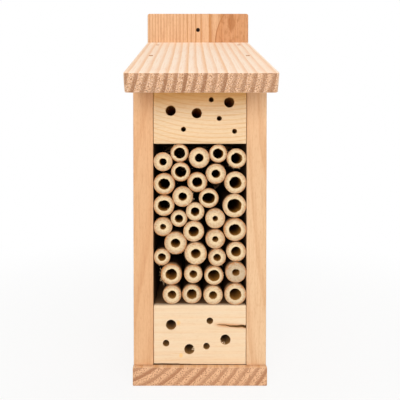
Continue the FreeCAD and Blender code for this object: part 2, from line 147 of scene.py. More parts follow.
class SideTimber(bpy.types.PropertyGroup):
    """The two upright side boards, with their grain upright."""

    left_pale: tint("Left pale wood", "Colour between the rings of the left board", (0.722, 0.442, 0.248))
    right_pale: tint("Right pale wood", "Colour between the rings of the right board", (0.75, 0.507, 0.308))
    ring: tint("Ring line", "Colour of the growth rings", (0.60, 0.31, 0.15))
    end_pale: tint("End wood", "Colour between the rings on the cut ends", (0.68, 0.41, 0.24))
    end_dark: tint("End ring", "Colour of the rings on the cut ends", (0.36, 0.16, 0.06))
    # Painted shade on the inner faces behind the front, where the house is in shade.
    inside: tint("Inside", "Colour of the shaded inner faces", (0.055, 0.025, 0.010))
    ring_width: length("Ring width", "Distance from ring to ring", 0.0034)
    ease: length("Eased edge", "Rounding of the edges", 0.0006)


class FloorTimber(bpy.types.PropertyGroup):
    """The board under the side boards, with its grain front to back."""

    pale: tint("Pale wood", "Colour between the growth rings", (0.84, 0.56, 0.34))
    ring: tint("Ring line", "Colour of the growth rings", (0.72, 0.38, 0.18))
    end_pale: tint("End wood", "Colour between the rings on the cut ends", (0.70, 0.42, 0.25))
    end_dark: tint("End ring", "Colour of the rings on the cut ends", (0.34, 0.145, 0.07))
    # Painted shade on the floor's top just behind the front, under the lower block.
    inside: tint("Inside", "Colour of the shaded face under the lower block", (0.05, 0.02, 0.007))
    ring_width: length("Ring width", "Distance from ring to ring", 0.0051)
    ease: length("Eased edge", "Rounding of the edges", 0.0007)


class BlockTimber(bpy.types.PropertyGroup):
    """The two drilled blocks, with their grain across the house."""

    upper_pale: tint("Upper pale wood", "Colour between the upper block's rings", (0.755, 0.582, 0.38))
    upper_ring: tint("Upper ring line", "Colour of the rings of the upper block", (0.64, 0.335, 0.115))
    lower_pale: tint("Lower pale wood", "Colour between the rings of the lower block", (0.785, 0.615, 0.43))
    lower_ring: tint("Lower ring line", "Colour of the rings of the lower block", (0.80, 0.56, 0.33))
    # Painted shade: nest hole and crack walls are darker than the wood at the mouth and darker inwards; the
    # deep colours below are painted shade too.
    drilled: tint("Drilled wall", "Colour of the walls of the nest holes at the mouth", (0.46, 0.24, 0.07))
    deep: tint("Deep wall", "Colour of the lower nest holes deep inside", (0.055, 0.022, 0.005))
    upper_hole_shade: tint("Shaded wall", "Colour of the upper nest holes deep inside", (0.62, 0.24, 0.04))
    resin: tint("Resin", "Colour of the golden spots of the lower block", (0.86, 0.52, 0.16))
    stain: tint("Stain", "Tone of the wood along the crack, against the rest", (0.78, 0.50, 0.33))
    # Painted shade: this tone darkens the upper block under the eave, where the roof's shadow falls.
    shade: tint("Shade", "Tone of the wood under the eave, against the rest", (1.0, 0.80, 0.46))
    # Painted shade on the blocks' faces towards the canes, behind the front.
    inside: tint("Inside", "Colour of the shaded faces towards the canes", (0.13, 0.05, 0.012))
    upper_width: length("Upper ring width", "Distance from ring to ring of the upper block", 0.0026)
    lower_width: length("Lower ring width", "Distance from ring to ring of the lower block", 0.0042)
    ease: length("Eased edge", "Rounding of the edges", 0.0004)
    crack: length("Crack", "Width of the crack at the side of the lower block", 0.0019)


class CaneLook(bpy.types.PropertyGroup):
    """The bamboo canes."""

    flesh: tint("Flesh", "Colour of the cut end near the bore", (0.765, 0.60, 0.38))
    outer: tint("Outer wall", "Colour of the cut end near the skin", (0.50, 0.345, 0.22))
    edge: tint("Edge", "Colour of the skin's edge at the cut", (0.47, 0.18, 0.05))
    skin: tint("Skin", "Colour of the hard outside", (0.38, 0.20, 0.085))
    # The deep bore colour is painted shade: the bore darkens to it inwards.
    bore: tint("Bore", "Colour inside the bore near the mouth", (0.44, 0.21, 0.04))
    deep: tint("Deep bore", "Colour deep inside the bore", (0.11, 0.04, 0.006))
    # Painted shade: the skins darken to this behind the cut, between the canes.
    cavity_shade: tint("CavityShade", "Colour between the canes", (0.030, 0.012, 0.005))
    grey: tint("Weathered", "Colour of an old greyed end", (0.50, 0.385, 0.265))
    rim: length("Worn rim", "Depth of the rounding of a cut end's outer edge", 0.0003)
    dome: length("Dome", "How far a cut end falls back from its bore to its rim", 0.0002)
    widen: amount("Wider bore", "How much wider a bore is worn than it grew", 0.03)
    out_of_round: amount("Out of round", "How far a bore is from a circle", 0.03)


class StageLook(bpy.types.PropertyGroup):
    """Floor, light and camera."""

    floor: tint("Floor", "Colour of the floor", (0.90, 0.90, 0.90))
    lens: bpy.props.FloatProperty(
        name="Lens", description="Focal length", default=36.10, min=1.0, unit="CAMERA")
    tilt: angle("Tilt", "How far the camera looks down", 1.0)
    stand: bpy.props.FloatVectorProperty(
        name="Stand", description="Place of the camera", default=(-0.00490, -0.27981, 0.13828), size=3,
        subtype="TRANSLATION", unit="LENGTH")
    shift: bpy.props.FloatVectorProperty(
        name="Shift", description="Sideways and upward shift of the picture", default=(0.0206, -0.0950),
        size=2)


class BeeHouse(bpy.types.PropertyGroup):
    """All sizes and colours of the house."""

    back: bpy.props.PointerProperty(name="Back board", type=BackTimber)
    roof: bpy.props.PointerProperty(name="Roof board", type=RoofTimber)
    side: bpy.props.PointerProperty(name="Side boards", type=SideTimber)
    floor: bpy.props.PointerProperty(name="Floor board", type=FloorTimber)
    block: bpy.props.PointerProperty(name="Drilled blocks", type=BlockTimber)
    cane: bpy.props.PointerProperty(name="Bamboo canes", type=CaneLook)
    stage: bpy.props.PointerProperty(name="Stage", type=StageLook)


# Shader values


class Tone:
    """One value in a node tree: arithmetic on it adds Math nodes."""

    def __init__(self, nodes, socket):
        self.nodes = nodes
        self.socket = socket

    def maths(self, operation, first, second=0.0):
        """A Math node on two values."""
        return self.nodes.node("ShaderNodeMath", {"operation": operation}, {0: first, 1: second})

    def __add__(self, other):
        return self.maths("ADD", self, other)

    def __radd__(self, other):
        return self.maths("ADD", other, self)

    def __sub__(self, other):
        return self.maths("SUBTRACT", self, other)

    def __rsub__(self, other):
        return self.maths("SUBTRACT", other, self)

    def __mul__(self, other):
        return self.maths("MULTIPLY", self, other)

    def __rmul__(self, other):
        return self.maths("MULTIPLY", other, self)

    def __truediv__(self, other):
        return self.maths("DIVIDE", self, other)

    def __abs__(self):
        return self.maths("ABSOLUTE", self)

    def part(self):
        """What is left after the whole number."""
        return self.maths("FRACT", self)

    def whole(self):
        """The whole number below."""
        return self.maths("FLOOR", self)

    def root(self):
        """The square root."""
        return self.maths("SQRT", self)

    def most(self, other):
        """The larger of two values."""
        return self.maths("MAXIMUM", self, other)

    def rise(self, low, high):
        """From 0 at low to 1 at high, softly."""
        return self.nodes.node("ShaderNodeMapRange", {"interpolation_type": "SMOOTHSTEP"},
                               {"Value": self, "From Min": low, "From Max": high})


class Nodes:
    """A node tree, and the one way to add nodes to it."""

    def __init__(self, tree):
        self.tree = tree
        tree.nodes.clear()

    def make(self, kind, settings=None, sockets=None):
        """A node of that type with its settings, then its socket values or links."""
        node = self.tree.nodes.new(kind)
        for key, value in (settings or {}).items():
            setattr(node, key, value)
        for key, value in (sockets or {}).items():
            self.feed(node.inputs[key], value)
        return node

    def node(self, kind, settings=None, sockets=None, output=0):
        """One output of such a node."""
        return Tone(self, self.make(kind, settings, sockets).outputs[output])

    def feed(self, socket, value):
        """Sets a socket, or links a value to it."""
        if isinstance(value, Tone):
            self.tree.links.new(value.socket, socket)
        elif socket.type == "RGBA":
            socket.default_value = (*value[:3], 1.0)
        else:
            socket.default_value = value

    def seen(self):
        """1 for what the camera sees, straight, mirrored or through glass, and 0 for all other light."""
        path = self.make("ShaderNodeLightPath")
        straight, mirrored, through = (
            Tone(self, path.outputs[f"Is {kind} Ray"]) for kind in ("Camera", "Glossy", "Transmission"))
        return straight.most(mirrored.most(through))


class Finish(Nodes):
    """A material with a Principled shader."""

    def __init__(self, name):
        self.material = bpy.data.materials.new(name)
        self.material.use_nodes = True
        super().__init__(self.material.node_tree)
        self.shader = self.make("ShaderNodeBsdfPrincipled")
        plain = Tone(self, self.shader.outputs[0])
        self.output = self.make("ShaderNodeOutputMaterial", sockets={"Surface": plain})

    def set(self, **values):
        """Feeds the shader's own sockets, named with _ for each space."""
        for key, value in values.items():
            self.feed(self.shader.inputs[key.replace("_", " ")], value)

    def blend(self, share, first, second, way="MIX"):
        """Two colours mixed by a share."""
        return self.node("ShaderNodeMix", {"data_type": "RGBA", "blend_type": way, "clamp_factor": True},
                         {0: share, 6: first, 7: second}, output=2)

    def vector(self, x, y, z):
        """Three values as one vector."""
        return self.node("ShaderNodeCombineXYZ", sockets={"X": x, "Y": y, "Z": z})

    def parts(self, vector):
        """The three values of a vector."""
        split = self.make("ShaderNodeSeparateXYZ", sockets={"Vector": vector})
        return [Tone(self, socket) for socket in split.outputs]

    def noise(self, vector, detail=2.0, roughness=0.5):
        """Soft noise from 0 to 1 with one lump per unit."""
        return self.node("ShaderNodeTexNoise", {"noise_dimensions": "3D"},
                         {"Vector": vector, "Scale": 1.0, "Detail": detail, "Roughness": roughness})

    def chance(self, value):
        """One random number per whole number."""
        return self.node("ShaderNodeTexWhiteNoise", {"noise_dimensions": "1D"}, {"W": value})

    def place(self):
        """The place on the piece in millimetres."""
        spot = self.node("ShaderNodeTexCoord", output="Object")
        scaled = self.node("ShaderNodeVectorMath", {"operation": "SCALE"}, {0: spot, "Scale": 1.0 / MM})
        return self.parts(scaled)

    def facing(self):
        """The way that the surface faces on the piece."""
        return self.parts(self.node("ShaderNodeTexCoord", output="Normal"))

    def own(self, name, output="Vector"):
        """An attribute of the piece's own mesh."""
        return self.node("ShaderNodeAttribute", {"attribute_type": "GEOMETRY", "attribute_name": name},
                         output=output)

    def relief(self, height, depth, strength=1.0):
        """Bump on the shader's normal, from a height of 0 to 1."""
        sockets = {"Height": height, "Strength": strength, "Distance": depth}
        self.set(Normal=self.node("ShaderNodeBump", sockets=sockets, output="Normal"))


# Timber

# What pine may show besides its rings, with places in millimetres: heartwood, resin and stain, and painted
# shade on hole walls, on faces inside the house and under the eave
Heart = namedtuple("Heart", "foot height blot colour")
Walls = namedtuple("Walls", "mouth deep reach")
CavityShade = namedtuple("CavityShade", "axis level colour near far")
Shade = namedtuple("Shade", "height tone")
Resin = namedtuple("Resin", "places colour")
Stain = namedtuple("Stain", "tip height fall tone")


def heartwood(finish, face, across, thick, along, drift, heart):
    """The darker heart of a board beyond a curved edge, with a rim along the edge and a few blotches."""
    above = (along - heart.height).most(0.0)
    below = (heart.height - along).most(0.0)
    edge = across - heart.foot - above * above * 0.0135 - below * 0.06 + drift * 0.4
    inside = edge.rise(-0.25, 0.25)
    rim = 1.0 - edge.rise(0.3, 1.3)
    mottle = finish.noise(finish.vector(across / 2.4, thick / 2.4, along / 5.5), detail=3.0)
    side = (across - heart.blot[0]) / 3.0
    rise = (along - heart.blot[1]) / 7.0
    spot = 1.0 - (side * side + rise * rise + (mottle - 0.5) * 1.2).rise(0.5, 1.3)
    face = finish.blend(inside * 0.85, face, heart.colour)
    dark = (rim * 0.8).most(spot * 0.75).most(mottle.rise(0.50, 0.70) * 0.55)
    return finish.blend(inside * dark, face, (0.68, 0.55, 0.42), "MULTIPLY")


def pine(name, look, ring_width, grain, pith, lean=(0.0, 0.0), bow=(0.0, 0.0), slope=0.0, wander=1.0,
         start=0.25, depth=0.85, streaks=0.4, heart=None, holes=None, cavity_shade=None, shade=None, resin=None,
         stain=None):
    """Pine with growth rings round a pith line, so that faces and cut ends agree.

    look gives the colours. grain is the axis that the fibres follow, or ROOF for the slope. pith is where
    the pith line crosses the other two axes, in millimetres. lean is how far it drifts per millimetre of
    grain, and bow where it is lowest and how fast it curves up from there. wander is how unevenly the
    rings grew. start is where in a ring the dark late wood begins, depth how dark that gets, and streaks
    how strongly the fibres show. heart is the heartwood, resin its spots of resin, and stain the wood along
    a crack. holes is painted shade on the walls of what is drilled, dust painted shade on the faces inside
    the house, and shade painted shade that darkens the wood under the eave.
    """
    pale, ring, end_pale, end_dark = look
    finish = Finish(name)
    x, y, z = finish.place()
    facing = finish.facing()
    inward = y - FRONT
    if grain == "ROOF":
        across = x
        thick = z * math.cos(slope) - y * math.sin(slope)
        along = y * math.cos(slope) + z * math.sin(slope)
        end = abs(facing[1] * math.cos(slope) + facing[2] * math.sin(slope))
    else:
        axis = "XYZ".index(grain)
        others = [x, y, z]
        along = others.pop(axis)
        across, thick = others
        end = abs(facing[axis])
    end = end.rise(0.55, 0.85)
    slow = finish.noise(finish.vector(across / 16.0, thick / 40.0, along / 110.0), detail=2.0)
    quick = finish.noise(finish.vector(across / 2.4, thick / 2.4, along / 36.0), detail=2.0)
    drift = (slow - 0.5) * (2.0 * wander) + (quick - 0.5) * (0.35 * wander)
    out = across - pith[0] - along * lean[0]
    off = along - bow[0]
    deep = thick - pith[1] - along * lean[1] - off * off * bow[1]
    rings = ((out * out + deep * deep).root() + drift) / (ring_width / MM)
    phase = rings.part()
    strength = 0.60 + finish.chance(rings.whole()) * 0.40
    late = phase.rise(start, 0.88) * (1.0 - phase.rise(0.91, 1.0)) * strength
    band = phase.rise(0.38, 0.72) * (1.0 - phase.rise(0.93, 1.0)) * strength
    streak = finish.noise(finish.vector(across * 1.2, thick * 1.2, along / 20.0), detail=3.0, roughness=0.6)
    hair = finish.noise(finish.vector(across * 2.0, thick * 2.0, along / 2.6), detail=1.0)
    patch = finish.noise(finish.vector(across / 22.0, thick / 22.0, along / 70.0), detail=1.0)
    pores = finish.noise(finish.vector(across * 1.6, thick * 1.6, along * 0.3), detail=0.0)
    specks = finish.noise(finish.vector(across * 1.9, thick * 1.9, along * 0.3 + 40.0), detail=0.0)
    face = finish.blend(late * depth, pale, ring)
    if heart:
        face = heartwood(finish, face, across, thick, along, drift, heart)
    face = finish.blend(streak.rise(0.46, 0.72) * streaks, face, ring, "MULTIPLY")
    face = finish.blend(hair.rise(0.48, 0.72) * (0.65 * streaks), face, ring, "MULTIPLY")
    face = finish.blend(patch.rise(0.40, 0.75) * 0.20, face, ring)
    cut = finish.blend(band * 0.85, end_pale, end_dark)
    cut = finish.blend(pores.rise(0.54, 0.66) * (0.80 - band * 0.5), cut, end_dark)
    cut = finish.blend(specks.rise(0.58, 0.68) * (0.50 - band * 0.35), cut, pale)
    wood = finish.blend(end, face, cut)
    if resin:
        for across_at, height_at in resin.places:
            side = (x - across_at) / 1.5
            rise = (z - height_at) / 1.9
            fade = (side * side + rise * rise + streak).rise(0.5, 1.6)
            wood = finish.blend((1.0 - fade) * 0.6, wood, resin.colour)
    if stain:
        beyond = x - stain.tip
        off = abs(z - stain.height + beyond * stain.fall) + streak * 1.2
        share = (1.0 - off.rise(0.5, 2.8)) * beyond.rise(-4.0, 4.0)
        wood = finish.blend(share, wood, stain.tone, "MULTIPLY")
    # Painted shadow of the eave: the wood is toned darker towards the top.
    if shade:
        wood = finish.blend(z.rise(shade.height - 13.0, shade.height), wood, shade.tone, "MULTIPLY")
    # Painted shade: the marked walls of holes, slots and the crack go from the mouth colour to the deep one
    # inwards.
    if holes:
        wall = finish.blend(inward.rise(0.5, holes.reach), holes.mouth, holes.deep)
        wood = finish.blend(finish.own("drilled", "Fac") * 0.94, wood, wall)
    # Painted shade: faces inside the house darken from near to far behind the front, where shade falls.
    if cavity_shade:
        off = abs((abs(x) if cavity_shade.axis == "X" else z) - cavity_shade.level)
        between = 1.0 - abs(x).rise(INNER + 0.2, INNER + 0.5)
        inner = (1.0 - off.rise(0.15, 0.45)) * inward.rise(cavity_shade.near, cavity_shade.far) * between
        wood = finish.blend(inner * 0.9, wood, cavity_shade.colour)
    finish.set(Base_Color=wood, Roughness=0.60 + hair * 0.18, Specular_IOR_Level=0.12)
    finish.relief(streak * 0.5 + hair * 0.3 + pores * (end * 0.6) - late * 0.3, 0.00014, 0.6)
    return finish.material


# Shaping


def only(piece):
    """Selects that object and nothing else."""
    if bpy.context.object and bpy.context.object.mode != "OBJECT":
        bpy.ops.object.mode_set(mode="OBJECT")
    bpy.ops.object.select_all(action="DESELECT")
    if piece:
        piece.select_set(True)
        bpy.context.view_layer.objects.active = piece


def settle(piece):
    """Puts the object's place, turn and size into its mesh."""
    only(piece)
    bpy.ops.object.transform_apply(location=True, rotation=True, scale=True)


def fresh(name):
    """The object that an operator has just made, under its name."""
    piece = bpy.context.object
    piece.name = name
    piece.data.name = name
    return piece


def box_piece(name, low, high, turn=(0.0, 0.0, 0.0)):
    """A cube at its size and place, to be shaped."""
    only(None)
    low = Vector(low)
    high = Vector(high)
    bpy.ops.mesh.primitive_cube_add(size=1.0, location=(low + high) / 2, rotation=turn)
    piece = fresh(name)
    piece.scale = high - low
    settle(piece)
    return piece


def rod_piece(name, middle, radius, depth, sides):
    """A closed cylinder along Y at its size and place, to be shaped."""
    only(None)
    bpy.ops.mesh.primitive_cylinder_add(
        vertices=sides, radius=radius, depth=depth, end_fill_type="NGON", location=middle, rotation=LAID)
    piece = fresh(name)
    settle(piece)
    return piece


def choose(piece, kind, test):
    """Edit mode, with the vertices, edges or faces that pass the test selected."""
    if piece.mode != "EDIT":
        only(piece)
        bpy.ops.object.mode_set(mode="EDIT")
    bpy.ops.mesh.select_mode(type={"verts": "VERT", "edges": "EDGE", "faces": "FACE"}[kind])
    bpy.ops.mesh.select_all(action="DESELECT")
    shape = bmesh.from_edit_mesh(piece.data)
    count = 0
    for item in getattr(shape, kind):
        if test(item):
            item.select_set(True)
            count += 1
    shape.select_flush_mode()
    bmesh.update_edit_mesh(piece.data)
    if not count:
        raise RuntimeError(f"{piece.name}: nothing to shape among its {kind}")


def leave():
    """Back to object mode."""
    bpy.ops.object.mode_set(mode="OBJECT")


def middle_of(edge):
    """The middle of an edge."""
    return (edge.verts[0].co + edge.verts[1].co) / 2


def runs(edge, way):
    """How nearly an edge runs along a direction, from 0 to 1."""
    return abs((edge.verts[1].co - edge.verts[0].co).normalized().dot(way))


def before(level):
    """A test for the edges in front of a level along Y."""
    return lambda edge: middle_of(edge).y < level - MM


def ease_edges(piece, offset, test, steps=2):
    """Rounds the edges that pass the test."""
    choose(piece, "edges", test)
    bpy.ops.mesh.bevel(offset=offset, segments=steps, affect="EDGES", profile=0.5)
    leave()


def part_edges(piece, way, least, cuts):
    """Divides the edges that run along a direction for at least that length."""
    choose(piece, "edges", lambda edge: edge.calc_length() > least and runs(edge, way) > 0.7)
    bpy.ops.mesh.subdivide(number_cuts=cuts)
    leave()


def copy_of(piece, name):
    """A copy of a modelled shape, with a mesh of its own."""
    only(piece)
    bpy.ops.object.duplicate(linked=False)
    return fresh(name)


def wear(piece, lump, depth=WEAR):
    """Takes up to that depth off the surface, unevenly, so that no edge is quite straight."""
    texture = bpy.data.textures.new(f"{piece.name}_wear", "CLOUDS")
    texture.noise_scale = lump
    texture.noise_depth = 2
    only(piece)
    worn = piece.modifiers.new("Wear", "DISPLACE")
    worn.texture = texture
    worn.texture_coords = "LOCAL"
    worn.mid_level = 1.0
    worn.strength = depth
    bpy.ops.object.modifier_apply(modifier=worn.name)
    bpy.data.textures.remove(texture)


def cut_away(piece, tool):
    """Takes the tool's shape out of the piece, and the tool away."""
    only(piece)
    cut = piece.modifiers.new("Cut", "BOOLEAN")
    cut.operation = "DIFFERENCE"
    cut.solver = "EXACT"
    cut.object = tool
    bpy.ops.object.modifier_apply(modifier=cut.name)
    bpy.data.objects.remove(tool)


def join_all(pieces):
    """Several objects as one, in the first."""
    only(pieces[0])
    for piece in pieces[1:]:
        piece.select_set(True)
    bpy.ops.object.join()
    return pieces[0]


def hand_over(piece, material, slot, *nodes):
    """Smooth shading, material and body of a finished piece that stands for CAD nodes, which it hides."""
    only(piece)
    bpy.ops.object.shade_smooth_by_angle(angle=SHARP)
    piece.data.materials.clear()
    piece.data.materials.append(material)
    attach(piece, "root")
    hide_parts(*nodes)


# A round hole along Y: its place in X and Z, and its radius
Hole = namedtuple("Hole", "across height radius")


def mark_dark(piece, mark):
    """Marks the faces that take the painted shade of drilled walls with 1, and the others with 0."""
    marks = piece.data.attributes.new("drilled", "FLOAT", "FACE")
    marks.data.foreach_set("value", [float(mark(face)) for face in piece.data.polygons])


def lines_hole(face, hole):
    """True for a face in the wall of a round hole."""
    off = Vector((face.center.x - hole.across, face.center.z - hole.height))
    wall = Vector((face.normal.x, face.normal.z))
    return 0.1 * MM < off.length < hole.radius * 1.12 and wall.dot(off.normalized()) < -0.5


def lines_slot(face, heads, outward):
    """True for a face in the wall or on the ground of one of the brads' slots."""
    on_ground = face.normal.dot(outward) > 0.6
    for head in heads:
        off = face.center - head
        rise = off.dot(outward)
        beside = (off - outward * rise).length < 2.1 * MM
        if beside and -0.2 * MM < rise < (0.1 if on_ground else 0.8) * MM:
            return True
    return False


def brad_heads(node, outward):
    """The middle of each brad's head in a group, on the face that looks outward."""
    points = [vertex.co.copy() for vertex in frame["nodes"][node].data.vertices]
    top = max(point.dot(outward) for point in points)
    groups = []
    for point in points:
        if point.dot(outward) < top - 0.05 * MM:
            continue
        near = next((group for group in groups if (group[0] - point).length < 5 * MM), None)
        if near:
            near.append(point)
        else:
            groups.append([point])
    return [sum(group, Vector()) / len(group) for group in groups]


def brad_slots(piece, heads, outward):
    """Opens the small slots that the brads' heads were driven into."""
    turn = Matrix((SIDEWAYS, outward.cross(SIDEWAYS), outward)).transposed().to_4x4()
    wide, long, tall, under = (1.2 * MM, 1.5 * MM, 3.0 * MM, 0.06 * MM)
    slot = box_piece("slot", (-wide, -long, -under), (wide, long, tall))
    ease_edges(slot, 0.4 * MM, lambda edge: runs(edge, UPWARD) > 0.9)
    slots = [slot] + [copy_of(slot, "slot") for _ in heads[1:]]
    for tool, head in zip(slots, heads):
        tool.data.transform(Matrix.Translation(head) @ turn)
    cut_away(piece, join_all(slots))


# Boards


def four_tones(look):
    """A board's colours: between its rings, its rings, and the same two on its cut ends."""
    return look.pale, look.ring, look.end_pale, look.end_dark


class BEE_HOUSE_OT_back_board(bpy.types.Operator):
    """Shapes the back board with its hanging hole"""

    bl_idname = "bee_house.back_board"
    bl_label = "Back board"

    # Radius of the hanging hole, a little worn
    HOLE = 1.55 * MM

    def execute(self, context):
        look = context.scene.bee_house.back
        low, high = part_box("back_board")
        board = box_piece("back_board_dressed", low, high)
        ease_edges(board, look.corner, lambda edge: runs(edge, BACKWARD) > 0.9
                   and middle_of(edge).z > high.z - MM, steps=5)
        ease_edges(board, look.ease, lambda edge: runs(edge, BACKWARD) < 0.5
                   and edge.calc_face_angle(0.0) > ARRIS)
        part_edges(board, UPWARD, least=0.1, cuts=40)
        part_edges(board, SIDEWAYS, least=0.04, cuts=12)
        wear(board, lump=0.012)
        hole = Hole(0.0, self.hole_height(), self.HOLE)
        middle = (hole.across, (low.y + high.y) / 2, hole.height)
        cut_away(board, rod_piece("hole", middle, hole.radius, depth=20 * MM, sides=28))
        heads = brad_heads("back_brads", BACKWARD)
        brad_slots(board, heads, BACKWARD)
        # Painted shade goes on the hanging hole's walls and the brads' slots.
        mark_dark(board, lambda face: lines_hole(face, hole) or lines_slot(face, heads, BACKWARD))
        wood = pine(
            "Back board pine", four_tones(look), look.ring_width, grain="Z", pith=(14.0, 67.0),
            wander=0.3, start=0.6, depth=1.0, streaks=0.3,
            heart=Heart(foot=13.5, height=227.5, blot=(26.4, 243.0), colour=look.heart),
            holes=Walls(mouth=look.drilled, deep=look.drilled, reach=1.0))
        hand_over(board, wood, "back_wood", "back_board")
        return {"FINISHED"}

    def hole_height(self):
        """The height of the hanging hole, from its mount in the record."""
        for mount in frame["record"]["mounts"]:
            if mount["name"] == "hanging_hole":
                return mount["pos_m"][2]
        raise RuntimeError("The record has no hanging hole.")


class BEE_HOUSE_OT_roof_board(bpy.types.Operator):
    """Shapes the sloping roof board with its brad slots"""

    bl_idname = "bee_house.roof_board"
    bl_label = "Roof board"

    # Length beyond the back board's face, which is then cut off upright
    SPARE = 0.01

    def execute(self, context):
        look = context.scene.bee_house.roof
        low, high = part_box("roof_board")
        side_low, side_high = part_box("left_side_board")
        slope = look.slope
        up = Vector((0.0, math.cos(slope), math.sin(slope)))
        out = Vector((0.0, -math.sin(slope), math.cos(slope)))
        drop = look.thickness * math.sin(slope)
        front = Vector((0.0, side_low.y - look.overhang + drop, 0.0))
        front.z = side_high.z + (front.y - high.y) * math.tan(slope)
        run = (high.y - front.y) / math.cos(slope) + self.SPARE
        middle = front + up * (run / 2) + out * (look.thickness / 2)
        half = Vector(((high.x - low.x) / 2, run / 2, look.thickness / 2))
        roof = box_piece("roof_board_dressed", middle - half, middle + half, (slope, 0.0, 0.0))
        choose(roof, "faces", lambda face: True)
        bpy.ops.mesh.bisect(
            plane_co=(0.0, high.y, 0.0), plane_no=BACKWARD, use_fill=True, clear_outer=True)
        leave()
        ease_edges(roof, look.corner, lambda edge: runs(edge, out) > 0.95
                   and middle_of(edge).y < low.y + 10 * MM, steps=4)
        ease_edges(roof, look.ease, lambda edge: middle_of(edge).y < high.y - MM
                   and edge.calc_face_angle(0.0) > ARRIS)
        part_edges(roof, BACKWARD, least=0.06, cuts=30)
        part_edges(roof, SIDEWAYS, least=0.04, cuts=24)
        wear(roof, lump=0.010)
        heads = brad_heads("roof_brads", out)
        brad_slots(roof, heads, out)
        # Painted shade goes on the walls of the brads' slots.
        mark_dark(roof, lambda face: lines_slot(face, heads, out))
        wood = pine(
            "Roof pine", four_tones(look), look.ring_width, grain="ROOF", pith=(-85.5, 207.0),
            slope=slope, wander=0.9, start=0.35, depth=1.0, streaks=0.3,
            holes=Walls(mouth=look.pit, deep=look.pit, reach=1.0))
        hand_over(roof, wood, "roof_wood", "roof_board")
        return {"FINISHED"}


class BEE_HOUSE_OT_side_boards(bpy.types.Operator):
    """Shapes the two side boards, cut to the roof's slope at the top"""

    bl_idname = "bee_house.side_boards"
    bl_label = "Side boards"

    def execute(self, context):
        look = context.scene.bee_house.side
        slope = context.scene.bee_house.roof.slope
        boards = (
            ("left_side_board", "Left side pine", look.left_pale, (-48.0, -95.0)),
            ("right_side_board", "Right side pine", look.right_pale, (60.0, -120.0)),
        )
        for name, title, pale, pith in boards:
            low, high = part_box(name)
            board = box_piece(f"{name}_dressed", low, high)
            choose(board, "verts", lambda corner: corner.co.z > high.z - MM and corner.co.y < 0)
            bpy.ops.transform.translate(value=(0.0, 0.0, -(high.y - low.y) * math.tan(slope)))
            leave()
            ease_edges(board, look.ease, before(high.y))
            part_edges(board, UPWARD, least=0.1, cuts=44)
            part_edges(board, BACKWARD, least=0.05, cuts=14)
            wear(board, lump=0.011)
            wood = pine(
                title, (pale, look.ring, look.end_pale, look.end_dark), look.ring_width, grain="Z",
                pith=pith, lean=(0.006, 0.04), wander=1.5, start=0.5, depth=0.5, streaks=0.26,
                # Painted shade on the inner faces behind the front.
                cavity_shade=CavityShade(axis="X", level=INNER, colour=look.inside, near=0.9, far=2.6))
            hand_over(board, wood, "side_wood", name)
        return {"FINISHED"}


class BEE_HOUSE_OT_floor_board(bpy.types.Operator):
    """Shapes the floor board, a little proud in front"""

    bl_idname = "bee_house.floor_board"
    bl_label = "Floor board"

    def execute(self, context):
        look = context.scene.bee_house.floor
        low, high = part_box("floor_board")
        board = box_piece("floor_board_dressed", low, high)
        ease_edges(board, look.ease, before(high.y), steps=3)
        part_edges(board, BACKWARD, least=0.05, cuts=24)
        part_edges(board, SIDEWAYS, least=0.05, cuts=24)
        wear(board, lump=0.010)
        brad_slots(board, brad_heads("floor_brads", -UPWARD), -UPWARD)
        wood = pine(
            "Floor pine", four_tones(look), look.ring_width, grain="Y", pith=(-73.0, 77.0),
            lean=(0.01, 0.006), wander=0.9, start=0.4,
            # Painted shade on the floor's top under the lower block's front.
            cavity_shade=CavityShade(axis="Z", level=high.z / MM, colour=look.inside, near=0.4, far=1.2))
        hand_over(board, wood, "floor_wood", "floor_board")
        return {"FINISHED"}


# Drilled blocks


